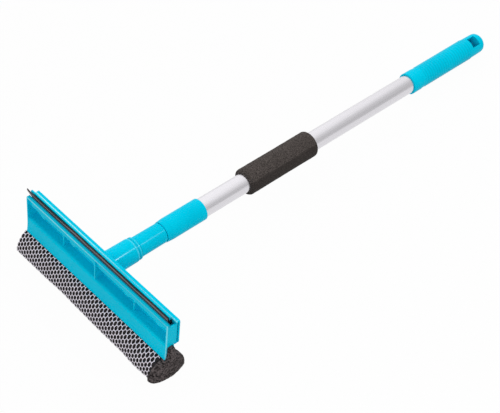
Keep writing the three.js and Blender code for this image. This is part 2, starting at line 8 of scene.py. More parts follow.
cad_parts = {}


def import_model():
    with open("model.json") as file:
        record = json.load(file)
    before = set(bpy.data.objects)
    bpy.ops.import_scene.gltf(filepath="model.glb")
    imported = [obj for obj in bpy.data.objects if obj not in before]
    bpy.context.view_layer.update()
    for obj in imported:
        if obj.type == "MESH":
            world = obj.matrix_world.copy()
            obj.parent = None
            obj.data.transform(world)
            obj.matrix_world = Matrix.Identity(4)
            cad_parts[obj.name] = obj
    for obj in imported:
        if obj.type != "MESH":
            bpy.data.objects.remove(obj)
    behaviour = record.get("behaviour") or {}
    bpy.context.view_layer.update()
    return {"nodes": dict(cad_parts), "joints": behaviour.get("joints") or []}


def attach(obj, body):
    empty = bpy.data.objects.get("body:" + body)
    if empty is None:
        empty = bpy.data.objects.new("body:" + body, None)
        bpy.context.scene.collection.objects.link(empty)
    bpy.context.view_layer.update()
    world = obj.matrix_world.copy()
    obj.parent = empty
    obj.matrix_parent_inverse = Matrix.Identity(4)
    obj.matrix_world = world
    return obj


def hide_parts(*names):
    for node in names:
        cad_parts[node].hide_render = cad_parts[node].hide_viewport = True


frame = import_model()

MM = 0.001

# ---- the head's own frame: X along the blade, Y up the pole from the cover, Z on the blade's side
NECK_END = 65.6
thread = next(joint for joint in frame["joints"] if joint["name"] == "pole_thread")
across = Vector((1, 0, 0))
up_the_pole = Vector(thread["axis"]).normalized()
blade_side = across.cross(up_the_pole)
head_place = Matrix((across, up_the_pole, blade_side)).transposed().to_4x4()
head_place.translation = Vector(thread["pos_m"]) - up_the_pole * NECK_END * MM
to_head = head_place.inverted()
floor_tilt = math.atan2(-up_the_pole.z, up_the_pole.y)  # the floor's slope in the head's frame


def at(x, y, z):
    """A point of the head's frame, in millimetres, as a point of the row's frame, in metres."""
    return head_place @ (Vector((x, y, z)) * MM)


def eased(value, start, reach):
    """0 at a start, 1 a reach past it, with no corner at either. A reach below 0 runs downwards."""
    t = min(max((value - start) / reach, 0), 1)
    return t * t * (3 - 2 * t)


def curve_at(points, x):
    """The height at x of a line through points, eased between them."""
    if x <= points[0][0]:
        return points[0][1]
    for (x0, y0), (x1, y1) in zip(points, points[1:]):
        if x <= x1:
            return y0 + (y1 - y0) * eased(x, x0, x1 - x0)
    return points[-1][1]


# ---- sizes, in millimetres
HEAD_DEPTH = 14.4
WALL = 1.6
APRON_DROP = 28
APRON_BEND = 6  # how far above its tip an apron starts to flare
APRON_FLARE = 1.1
APRON_TIP = 1.3
REAR_APRON_FRONT = 6.8
REAR_APRON_FLARE = 1.6

# The outline round the sponge passes these points, each (up the pole, on the blade's side), and runs there at
# these turns in degrees: 0 forwards, 90 down, 180 back.
SPONGE_TOP = -12.2
FRONT_TIP_TURN = 24
SPONGE_SHOULDER, SHOULDER_TURN = (-24, -37.2), 62
SPONGE_NOSE, NOSE_TURN = (-27.4, -47.5), 84
SPONGE_REST, SPONGE_REST_HALF = (-9.5, -52.24), 7
SPONGE_BACK, BACK_TURN = (7.3, -46.5), 275
REAR_TIP_TURN = 345
OUTLINE_PULL = 0.38  # a curve's handles, as a share of its length

# The sponge's front bulges past the solid's even section: (place along the head, how far).
SPONGE_FULLNESS = ((-60, 0.35), (-35, -0.2), (-10, 0.45), (25, 1.1), (55, 1.2), (75, 2.3), (104, 1.6))
# The bare foam past the net swells as nothing holds it, and rounds off at its end.
SPONGE_FLARE = ((94, 0), (99, 2.4), (101, 2.0), (104, 0.6))
# Where each part of the sponge starts, and the reach over which it becomes all of that part.
BELLY = (-24, -14)  # downwards, inside the aprons
FRONT_HALF = (-12, -12)  # forwards
REAR_CORNER = (-4, 10)  # backwards
LOWER_FRONT = (-17, -12)  # forwards
BARE_END = (96, 8)  # to the right
UNDER_APRONS = (-29, -3)  # downwards
FULL_SAG = 0.45  # the share of the fullness that hangs down
FLARE_LIFT, FLARE_CORNER = 0.4, 0.3  # the shares of the flare that go up, and out at the rear corner
END_CROWN = 2.4  # how far the middle of the end face stands out past its rim
CROWN_MIDDLE, CROWN_HALF = -8, 11
CROWN_FALL = 1.1  # how much further the end face falls back at the lower front
FOAM_CLEAR, SWELL_CLEAR = 0.2, 0.4  # the least height over the floor, once roughened and once swelled
SPONGE_VOXEL = 1.1
SPONGE_LUMP, SPONGE_UNEVEN, SPONGE_SWELL = 2.2, 0.35, 0.35

NET_SKIN = 0.45
NET_GAP = 0.25
NET_LEFT, NET_RIGHT = -104.6, 98.2
NET_BACK_REACH = 5.5  # how much further right it ends at the back
BACK_ALONG, BACK_ROUND = (78, 20), (-3, 7)  # where that starts, and its reach, along the head and up the pole
NET_TUCK = 9  # left out at each edge, where the aprons hide it
NET_SOLID_SKIN = 0.7  # the solid net's thickness: the knitted one lies in the middle of it
NET_MERGE = 0.02
NET_PITCH = 6.65  # between holes of one row, along the head
NET_ROW = 2.48  # between rows, round the sponge; every other row is moved by half a pitch
NET_LINK = 2.3  # the side of a hole that lies along the head
STRAND_WIDTH = 0.58
CORNER_FILL = 0.9  # how much the knots round off a hole's corners
KNOT = 1.2  # a knot's thickness, in strands

TUBE_RADIUS, TUBE_WALL = 10, 1
TUBE_START, TUBE_END = 77, 497
FOAM_START, FOAM_LENGTH, FOAM_RADIUS, FOAM_ROUND = 172, 91, 14.05, 3
FOAM_BORE, FOAM_WAIST = 10.15, 0.12
FOAM_LUMP, FOAM_UNEVEN = 3, 0.12

CHANNEL_FRONT, CHANNEL_BACK, CHANNEL_FLOOR = 10.5, 3.9, 9.8
BLADE_LEFT, BLADE_RIGHT = -107.1, 95.9
BLADE_INSIDE_LEFT = -99.7
FOOT_HEIGHT = 4.4
LIP_BACK, LIP_THICKNESS, LIP_TOP = 7.8, 1.3, 20.0
LIP_ROOT, LIP_FRONT_ROOT, LIP_HALFWAY, LIP_BEND = 15.0, 15.4, 18.2, 5.6
LIP_FILLET = 0.6  # how far the lip's root stands out in front
LIP_TAPER = 0.1  # how far each face draws in by the top
LIP_CHAMFER, LIP_CHAMFER_DROP = 0.3, 0.25
# The lip leans to the front: (place along the head, how far).
LIP_LEAN = (
    (-107, 0.5),
    (-92, 0.6),
    (-65, 0.9),
    (-50, 0.5),
    (-35, 0),
    (20, 0),
    (50, 0.45),
    (70, 0.1),
    (96, 0.1),
)
# It waves: (how far, the length that a radian takes, how far on the wave is at the middle).
LIP_WAVE, LIP_RIPPLE = (0.12, 5.6, 1.3), (0.1, 9.0, 0)  # to the front and upwards
FREE_START, FREE_RUN = -99, 9  # along the head, where nothing holds the lip
LIP_CURL, LIP_SWING = 1.9, 0.5  # how far its free end turns up, and to the front
LIP_CUT = 3.4  # how much lower the lip is at its free end than inside the head
# Above this height the lip's front faces take the painted sheen.
SHEEN_ABOVE = 16

# Painted highlights along edges, and painted shade in creases and in the blade's lee: a point in the head's frame,
# the axes that count for the distance from the line, its reach, its strength on the left and on the right, and its
# colour.
# A painted highlight colour and a painted shade colour.
PAINTED_HIGHLIGHT, PAINTED_SHADE = "#B8FCFF", "#006C88"
PAINTED_LIGHT_MARKS = [
    ((0, -3.8, 17.2), (0, 1, 1), 1.05, 0.9, 0.33, PAINTED_HIGHLIGHT),  # front edge of the cover's top lip
    ((0, -12.4, 18.2), (0, 1, 1), 3.2, 0.36, 0.36, PAINTED_SHADE),  # top of the ledge, in the blade's lee
    ((0, -14.4, 17.6), (0, 1, 1), 0.8, 0.45, 0.16, PAINTED_HIGHLIGHT),  # front edge of the ledge
    ((101.5, -14.4, 0), (1, 1, 0), 1.0, 0.0, 0.4, PAINTED_HIGHLIGHT),  # front corner of the right end wall
    ((0, -10.2, 18.2), (0, 1, 1), 2.0, 0.85, 0.85, PAINTED_SHADE),  # back of the ledge, beside the blade
    ((0, 29.2, 0), (0, 1, 0), 0.9, 0.13, 0.13, PAINTED_HIGHLIGHT),  # rim of the socket
    ((0, 30.6, 0), (0, 1, 0), 0.9, 0.25, 0.25, PAINTED_SHADE),  # groove between the socket and its bead
    ((0, 33.0, 0), (0, 1, 0), 0.9, 0.07, 0.07, PAINTED_HIGHLIGHT),  # rim of the bead
    ((0, 34.4, 0), (0, 1, 0), 0.9, 0.2, 0.2, PAINTED_SHADE),  # foot of the bead
]
MARK_LEFT, MARK_RIGHT = -30, 25  # the strength changes between these places along the head
MARK_CORE = 0.55  # the share of its reach in which a mark has its full strength
RIB_PITCH, RIB_FIRST, RIB_RUN = 3.6, 428.0, 75.6
# how dark the painted shade in the rib grooves is
RIB_SHADE = 0.22
FOAM_SHADED_SIDE = (0.588, 0, -0.809)  # the way from the pole's axis to the side of the sleeve painted darker as shade, in the head's frame


# ---- materials
def linear(code):
    """An sRGB hex colour as linear RGBA."""
    channels = [int(code[i : i + 2], 16) / 255 for i in (1, 3, 5)]
    return [c / 12.92 if c <= 0.04045 else ((c + 0.055) / 1.055) ** 2.4 for c in channels] + [1.0]


def add(tree, kind, settings=None, links=None):
    """Adds a node. Lower-case settings are the node's own, the others are its inputs."""
    made = tree.nodes.new(kind)
    for key, value in (settings or {}).items():
        if isinstance(key, str) and key[0].islower():
            setattr(made, key, value)
        else:
            made.inputs[key].default_value = value
    for key, source in (links or {}).items():
        tree.links.new(source, made.inputs[key])
    return made


def set_ends(ramp, dark, light, start=0.0, end=1.0):
    """The two ends of a colour ramp."""
    for element, position, code in zip(ramp.color_ramp.elements, (start, end), (dark, light)):
        element.position = position
        element.color = linear(code)


def new_material(name):
    """A material with an empty node tree."""
    material = bpy.data.materials.new(name)
    material.use_nodes = True
    material.node_tree.nodes.clear()
    return material, material.node_tree


def head_coordinates(tree):
    """Object coordinates turned into the head's frame, in metres."""
    place = add(tree, "ShaderNodeTexCoord")
    return add(
        tree,
        "ShaderNodeMapping",
        {"Location": to_head.translation, "Rotation": (floor_tilt, 0, 0)},
        {"Vector": place.outputs["Object"]},
    )


def beside_line(tree, place, point, counted, reach):
    """1 on a line through a point of the head's frame, 0 past a reach from it. In millimetres.

    The line runs along each axis that is not counted."""
    kept = add(tree, "ShaderNodeVectorMath", {"operation": "MULTIPLY", 1: counted}, {0: place.outputs["Vector"]})
    middle = tuple(p * c * MM for p, c in zip(point, counted))
    away = add(tree, "ShaderNodeVectorMath", {"operation": "DISTANCE", 1: middle}, {0: kept.outputs["Vector"]})
    return add(
        tree,
        "ShaderNodeMapRange",
        {"From Min": MARK_CORE * reach * MM, "From Max": reach * MM, "To Min": 1.0, "To Max": 0.0},
        {"Value": away.outputs["Value"]},
    ).outputs["Result"]


def paint_shade_between_ribs(tree, along, painted_colour):
    """Darkens a colour in the grooves between the end grip's ribs: painted shade."""
    per_metre, start = 2 * math.pi / (RIB_PITCH * MM), -2 * math.pi * RIB_FIRST / RIB_PITCH
    turn = add(tree, "ShaderNodeMath", {"operation": "MULTIPLY_ADD", 1: per_metre, 2: start}, {0: along})
    wave = add(tree, "ShaderNodeMath", {"operation": "COSINE"}, {0: turn.outputs["Value"]})
    groove = add(
        tree,
        "ShaderNodeMapRange",
        {"From Min": -0.2, "From Max": 1.0, "To Max": RIB_SHADE},
        {"Value": wave.outputs["Value"]},
    )
    ribbed = add(
        tree,
        "ShaderNodeMath",
        {"operation": "COMPARE", 1: (RIB_FIRST + RIB_RUN / 2) * MM, 2: RIB_RUN / 2 * MM},
        {0: along},
    )
    amount = add(
        tree,
        "ShaderNodeMath",
        {"operation": "MULTIPLY"},
        {0: groove.outputs["Result"], 1: ribbed.outputs["Value"]},
    )
    return add(
        tree, "ShaderNodeMixRGB", {"Color2": linear(PAINTED_SHADE)}, {"Fac": amount.outputs["Value"], "Color1": painted_colour}
    ).outputs["Color"]


def moulded_polypropylene():
    # Injection-moulded in one through-colour: a soft gloss, with faint clouding where the melt flowed.
    material, tree = new_material("polypropylene_moulded_teal")
    place = add(tree, "ShaderNodeTexCoord")
    # 28 clouds to the metre, so each about 36 mm across.
    flow = add(tree, "ShaderNodeTexNoise", {"Scale": 28.0, "Detail": 2.0}, {"Vector": place.outputs["Object"]})
    tint = add(tree, "ShaderNodeValToRGB", {}, {"Fac": flow.outputs["Fac"]})
    set_ends(tint, "#00C0DE", "#00C7E4", 0.3, 0.7)
    # Spark-eroded mould texture, 0.4 mm grains.
    grain = add(
        tree, "ShaderNodeTexNoise", {"Scale": 1 / (0.4 * MM), "Detail": 1.0}, {"Vector": place.outputs["Object"]}
    )
    relief = add(tree, "ShaderNodeBump", {"Strength": 0.012, "Distance": 0.0001}, {"Height": grain.outputs["Fac"]})
    gloss = add(tree, "ShaderNodeMapRange", {"To Min": 0.15, "To Max": 0.18}, {"Value": flow.outputs["Fac"]})
    # Painted highlights along long edges, stronger on the left, and painted shade beside the blade and the bead.
    head = head_coordinates(tree)
    along = add(tree, "ShaderNodeSeparateXYZ", {}, {"Vector": head.outputs["Vector"]})
    painted_colour = tint.outputs["Color"]
    for point, counted, reach, left, right, colour in PAINTED_LIGHT_MARKS:
        strength = add(
            tree,
            "ShaderNodeMapRange",
            {"From Min": MARK_LEFT * MM, "From Max": MARK_RIGHT * MM, "To Min": left, "To Max": right},
            {"Value": along.outputs["X"]},
        )
        mark = add(
            tree,
            "ShaderNodeMath",
            {"operation": "MULTIPLY"},
            {0: beside_line(tree, head, point, counted, reach), 1: strength.outputs["Result"]},
        )
        marked = add(
            tree, "ShaderNodeMixRGB", {"Color2": linear(colour)}, {"Fac": mark.outputs["Value"], "Color1": painted_colour}
        )
        painted_colour = marked.outputs["Color"]
    painted_colour = paint_shade_between_ribs(tree, along.outputs["Y"], painted_colour)
    shader = add(
        tree,
        "ShaderNodeBsdfPrincipled",
        {"IOR": 1.49, "Metallic": 0.0, "Specular IOR Level": 0.02},
        {
            "Base Color": painted_colour,
            "Roughness": gloss.outputs["Result"],
            "Normal": relief.outputs["Normal"],
        },
    )
    add(tree, "ShaderNodeOutputMaterial", {}, {"Surface": shader.outputs["BSDF"]})
    return material


def extruded_rubber(name, dark, light, dull):
    # Extruded natural rubber: near black, with fine dull lines along the draw, 50 mm by 1.1 mm.
    material, tree = new_material(name)
    place = add(tree, "ShaderNodeTexCoord")
    drawn = add(tree, "ShaderNodeMapping", {"Scale": (20.0, 900.0, 900.0)}, {"Vector": place.outputs["Object"]})
    lines = add(tree, "ShaderNodeTexNoise", {"Scale": 1.0, "Detail": 3.0}, {"Vector": drawn.outputs["Vector"]})
    tint = add(tree, "ShaderNodeValToRGB", {}, {"Fac": lines.outputs["Fac"]})
    set_ends(tint, dark, light)
    relief = add(tree, "ShaderNodeBump", {"Strength": 0.2, "Distance": 0.0001}, {"Height": lines.outputs["Fac"]})
    shader = add(
        tree,
        "ShaderNodeBsdfPrincipled",
        {"IOR": 1.52, "Roughness": dull, "Specular IOR Level": 0.2},
        {"Base Color": tint.outputs["Color"], "Normal": relief.outputs["Normal"]},
    )
    add(tree, "ShaderNodeOutputMaterial", {}, {"Surface": shader.outputs["BSDF"]})
    return material


def open_cell_foam(name, dark, light, pore, underside_shade=0.0):
    # Reticulated polyurethane foam, cut from a block: open cells read as dark pores between lighter struts.
    # A pore's size is in millimetres, coarser than the real one so that it shows.
    material, tree = new_material(name)
    place = add(tree, "ShaderNodeTexCoord")
    cells = add(
        tree,
        "ShaderNodeTexVoronoi",
        {"feature": "F1", "Scale": 1000.0 / pore, "Randomness": 1.0},
        {"Vector": place.outputs["Object"]},
    )
    clumps = add(
        tree, "ShaderNodeTexNoise", {"Scale": 700.0 / pore, "Detail": 3.0}, {"Vector": place.outputs["Object"]}
    )
    mixed = add(
        tree,
        "ShaderNodeMath",
        {"operation": "MULTIPLY_ADD", 1: 0.6},
        {0: cells.outputs["Distance"], 2: clumps.outputs["Fac"]},
    )
    tint = add(tree, "ShaderNodeValToRGB", {}, {"Fac": mixed.outputs["Value"]})
    set_ends(tint, dark, light, 0.6)
    # Painted shade on the lower front side: darker past a soft line along it.
    below = add(
        tree,
        "ShaderNodeVectorMath",
        {"operation": "DOT_PRODUCT", 1: FOAM_SHADED_SIDE},
        {0: head_coordinates(tree).outputs["Vector"]},
    )
    shade = add(
        tree,
        "ShaderNodeMapRange",
        {"From Min": -0.6 * MM, "From Max": 0.8 * MM, "To Max": underside_shade},
        {"Value": below.outputs["Value"]},
    )
    tone = add(
        tree,
        "ShaderNodeMixRGB",
        {"Color2": linear(dark)},
        {"Fac": shade.outputs["Result"], "Color1": tint.outputs["Color"]},
    )
    relief = add(tree, "ShaderNodeBump", {"Strength": 0.7, "Distance": 0.0006}, {"Height": mixed.outputs["Value"]})
    shader = add(
        tree,
        "ShaderNodeBsdfPrincipled",
        {"Roughness": 0.95, "IOR": 1.45, "Specular IOR Level": 0.2},
        {"Base Color": tone.outputs["Color"], "Normal": relief.outputs["Normal"]},
    )
    add(tree, "ShaderNodeOutputMaterial", {}, {"Surface": shader.outputs["BSDF"]})
    return material


def knitted_polyester():
    # Warp-knitted from white polyester yarn, greyed by the dark foam behind: soft, with uneven filaments.
    material, tree = new_material("polyester_knitted_net")
    place = add(tree, "ShaderNodeTexCoord")
    # Filaments are drawn 1.1 mm across, coarser than the real ones, so that they show.
    yarn = add(tree, "ShaderNodeTexNoise", {"Scale": 900.0, "Detail": 2.0}, {"Vector": place.outputs["Object"]})
    tint = add(tree, "ShaderNodeValToRGB", {}, {"Fac": yarn.outputs["Fac"]})
    set_ends(tint, "#C6BEC9", "#ECE6EF", 0.3, 0.7)
    relief = add(tree, "ShaderNodeBump", {"Strength": 0.4, "Distance": 0.0002}, {"Height": yarn.outputs["Fac"]})
    shader = add(
        tree,
        "ShaderNodeBsdfPrincipled",
        {"Roughness": 0.7, "IOR": 1.5, "Sheen Weight": 0.2},
        {"Base Color": tint.outputs["Color"], "Normal": relief.outputs["Normal"]},
    )
    add(tree, "ShaderNodeOutputMaterial", {}, {"Surface": shader.outputs["BSDF"]})
    return material


def drawn_aluminium():
    # Drawn aluminium tube, satin polished along its length: fine lines that stretch the highlight round it,
    # 0.7 mm apart and 80 mm long.
    material, tree = new_material("aluminium_drawn_satin")
    place = head_coordinates(tree)
    along = add(
        tree,
        "ShaderNodeVectorMath",
        {"operation": "MULTIPLY", 1: (1400.0, 12.0, 1400.0)},
        {0: place.outputs["Vector"]},
    )
    lines = add(tree, "ShaderNodeTexNoise", {"Scale": 1.0, "Detail": 3.0}, {"Vector": along.outputs["Vector"]})
    gloss = add(tree, "ShaderNodeMapRange", {"To Min": 0.24, "To Max": 0.32}, {"Value": lines.outputs["Fac"]})
    relief = add(tree, "ShaderNodeBump", {"Strength": 0.08, "Distance": 0.0001}, {"Height": lines.outputs["Fac"]})
    tint = add(tree, "ShaderNodeValToRGB", {}, {"Fac": lines.outputs["Fac"]})
    set_ends(tint, "#DAD8DD", "#E6E4E8")
    shader = add(
        tree,
        "ShaderNodeBsdfPrincipled",
        {"Metallic": 1.0},
        {
            "Base Color": tint.outputs["Color"],
            "Roughness": gloss.outputs["Result"],
            "Normal": relief.outputs["Normal"],
        },
    )
    add(tree, "ShaderNodeOutputMaterial", {}, {"Surface": shader.outputs["BSDF"]})
    return material


def plated_steel():
    # Zinc-plated screw steel: bright, with clouds about 1 mm across.
    material, tree = new_material("steel_zinc_plated")
    place = add(tree, "ShaderNodeTexCoord")
    cloud = add(tree, "ShaderNodeTexNoise", {"Scale": 900.0, "Detail": 2.0}, {"Vector": place.outputs["Object"]})
    gloss = add(tree, "ShaderNodeMapRange", {"To Min": 0.25, "To Max": 0.45}, {"Value": cloud.outputs["Fac"]})
    shader = add(
        tree,
        "ShaderNodeBsdfPrincipled",
        {"Base Color": linear("#C3C6C9"), "Metallic": 1.0},
        {"Roughness": gloss.outputs["Result"]},
    )
    add(tree, "ShaderNodeOutputMaterial", {}, {"Surface": shader.outputs["BSDF"]})
    return material


teal = moulded_polypropylene()
rubber = extruded_rubber("natural_rubber_extruded", "#150F10", "#271F20", 0.5)
# A lighter copy of the rubber for the lip's front face: a painted sheen.
rubber_painted_sheen = extruded_rubber("natural_rubber_painted_sheen", "#776E70", "#938B8D", 0.8)
sponge_foam = open_cell_foam("polyurethane_sponge_foam", "#0B0809", "#605858", 1.7)
# The foam under the net is a darker copy of the foam: painted shade from the net over it.
foam_shaded_under_net = open_cell_foam("polyurethane_foam_painted_shade_under_net", "#0A0809", "#2E2A2B", 1.7)
grip_foam = open_cell_foam("polyurethane_grip_foam", "#262220", "#5A5350", 0.7, underside_shade=0.6)
net_yarn = knitted_polyester()
aluminium = drawn_aluminium()
screw_steel = plated_steel()


# ---- mesh helpers
def new_piece(name, bm, material, smooth=True):
    """An object of one material from a mesh in the making."""
    mesh = bpy.data.meshes.new(name)
    bm.to_mesh(mesh)
    bm.free()
    piece = bpy.data.objects.new(name, mesh)
    bpy.context.scene.collection.objects.link(piece)
    mesh.materials.append(material)
    for face in mesh.polygons:
        face.use_smooth = smooth
    return piece


def smoothed(piece, angle):
    """Shades a piece smooth, but for edges sharper than an angle in degrees."""
    bm = bmesh.new()
    bm.from_mesh(piece.data)
    for edge in bm.edges:
        if len(edge.link_faces) == 2:
            edge.smooth = edge.calc_face_angle(0) < math.radians(angle)
    bm.to_mesh(piece.data)
    bm.free()
    for face in piece.data.polygons:
        face.use_smooth = True


def with_modifiers(piece):
    """The piece's mesh with its modifiers applied and removed."""
    graph = bpy.context.evaluated_depsgraph_get()
    made = bpy.data.meshes.new_from_object(piece.evaluated_get(graph), depsgraph=graph)
    piece.modifiers.clear()
    old = piece.data
    piece.data = made
    bpy.data.meshes.remove(old)
    return piece


def cad_copy(node):
    """The CAD node's solid as one merged mesh."""
    bm = bmesh.new()
    bm.from_mesh(frame["nodes"][node].data)
    bmesh.ops.remove_doubles(bm, verts=bm.verts, dist=2e-6)
    return bm


def moulded(node, name, body):
    """A CAD node's moulding: flat faces shaded flat, and roundings shaded round."""
    piece = new_piece(name, cad_copy(node), teal)
    smoothed(piece, 35)
    even = piece.modifiers.new("flat_faces_stay_flat", "WEIGHTED_NORMAL")
    even.weight = 100
    even.keep_sharp = True
    with_modifiers(piece)
    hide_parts(node)
    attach(piece, body)
    return piece


def turned(name, profile, material, segments=96):
    """A closed profile of (radius, y) points, turned round the pole."""
    bm = bmesh.new()
    rings = []
    for step in range(segments):
        angle = 2 * math.pi * step / segments
        rings.append([bm.verts.new(at(r * math.cos(angle), y, r * math.sin(angle))) for r, y in profile])
    for step, ring in enumerate(rings):
        following = rings[(step + 1) % segments]
        for i in range(len(profile)):
            j = (i + 1) % len(profile)
            bm.faces.new((ring[i], following[i], following[j], ring[j]))
    bmesh.ops.recalc_face_normals(bm, faces=bm.faces)
    return new_piece(name, bm, material)


def bezier(points, count):
    """Points along a Bezier curve, without its first."""
    found = []
    for step in range(1, count + 1):
        layer = [Vector(p) for p in points]
        while len(layer) > 1:
            layer = [a.lerp(b, step / count) for a, b in zip(layer, layer[1:])]
        found.append(layer[0])
    return found


# ---- the net's path round the sponge, in the (y, z) plane of the head's frame
def curve_on(path, to, leaving, arriving, count):
    """Carries a path on to a point. Directions are in degrees: 0 forwards, 90 down."""
    start, end = path[-1], Vector(to)
    pull = (end - start).length * OUTLINE_PULL
    turns = (math.radians(leaving), math.radians(arriving))
    leave, arrive = (Vector((-math.cos(turn), -math.sin(turn))) * pull for turn in turns)
    path += bezier([start, start + leave, end - arrive, end], count)


def net_path():
    """The net's outer face, from inside the front apron, down the front and under, to inside the rear one."""
    inside = -HEAD_DEPTH + WALL + NET_GAP
    under = -APRON_DROP - NET_GAP
    front_tip = -HEAD_DEPTH - APRON_FLARE
    rear_tip = -REAR_APRON_FRONT + REAR_APRON_FLARE
    flat = 180 + math.degrees(floor_tilt)
    rise = math.tan(floor_tilt) * SPONGE_REST_HALF
    rest_y, rest_z = SPONGE_REST
    path = [Vector((inside, SPONGE_TOP))]
    path += bezier([path[-1], (inside, -APRON_DROP + APRON_BEND), (front_tip + APRON_TIP + NET_GAP, under)], 10)
    path += bezier([path[-1], (front_tip - NET_GAP, under)], 3)
    curve_on(path, SPONGE_SHOULDER, FRONT_TIP_TURN, SHOULDER_TURN, 12)
    curve_on(path, SPONGE_NOSE, SHOULDER_TURN, NOSE_TURN, 10)
    curve_on(path, (rest_y - SPONGE_REST_HALF, rest_z - rise), NOSE_TURN, flat, 16)
    path += bezier([path[-1], (rest_y + SPONGE_REST_HALF, rest_z + rise)], 10)
    curve_on(path, SPONGE_BACK, flat, BACK_TURN, 12)
    curve_on(path, (rear_tip + APRON_TIP + NET_GAP, under), BACK_TURN, REAR_TIP_TURN, 16)
    path += bezier([path[-1], (rear_tip - NET_GAP, under)], 3)
    path += bezier([path[-1], (-REAR_APRON_FRONT - NET_GAP, SPONGE_TOP)], 8)
    return path


# ---- net
def net_cell():
    """One hole of the flat net, with half of each strand round it: x along the head, y round the sponge."""
    corners = [
        (NET_PITCH / 2 - NET_LINK / 2, 0),
        (NET_LINK / 2, NET_ROW),
        (-NET_LINK / 2, NET_ROW),
        (-NET_PITCH / 2 + NET_LINK / 2, 0),
        (-NET_LINK / 2, -NET_ROW),
        (NET_LINK / 2, -NET_ROW),
    ]
    rim, hole = [], []
    for i, corner in enumerate(corners):
        corner, following = Vector(corner), Vector(corners[(i + 1) % 6])
        middle = (corner + following) / 2
        side = (following - corner).normalized()
        reach = abs(middle.cross(side))
        clear = 1 - STRAND_WIDTH / 2 / reach
        rim += [corner, middle]
        hole += [corner * clear * CORNER_FILL, middle * clear]

    bm = bmesh.new()
    loops = []
    for height, ring in ((1.0, rim), (0.5, hole), (-0.5, hole), (-1.0, rim)):
        loop = []
        for i, point in enumerate(ring):
            thickness = KNOT if ring is rim and i % 2 == 0 else 1.0
            loop.append(bm.verts.new(Vector((point.x, point.y, height * thickness * NET_SKIN / (2 * KNOT))) * MM))
        loops.append(loop)
    for outer, inner in zip(loops, loops[1:]):
        for i in range(len(rim)):
            j = (i + 1) % len(rim)
            bm.faces.new((outer[i], outer[j], inner[j], inner[i]))
    return new_piece("net_cell", bm, net_yarn)


def path_curve(points, inset):
    """The path as a curve object in the row's frame, at x = 0, moved in by an inset."""
    curve = bpy.data.curves.new("net_path", "CURVE")
    curve.dimensions = "3D"
    spline = curve.splines.new("POLY")
    spline.points.add(len(points) - 1)
    for i, point in enumerate(points):
        before, after = points[max(i - 1, 0)], points[min(i + 1, len(points) - 1)]
        tangent = (after - before).normalized()
        y, z = point.x - tangent.y * inset, point.y + tangent.x * inset
        place = at(0, y, z)
        spline.points[i].co = (0, place.y, place.z, 1)
    made = bpy.data.objects.new("net_path", curve)
    bpy.context.scene.collection.objects.link(made)
    return made


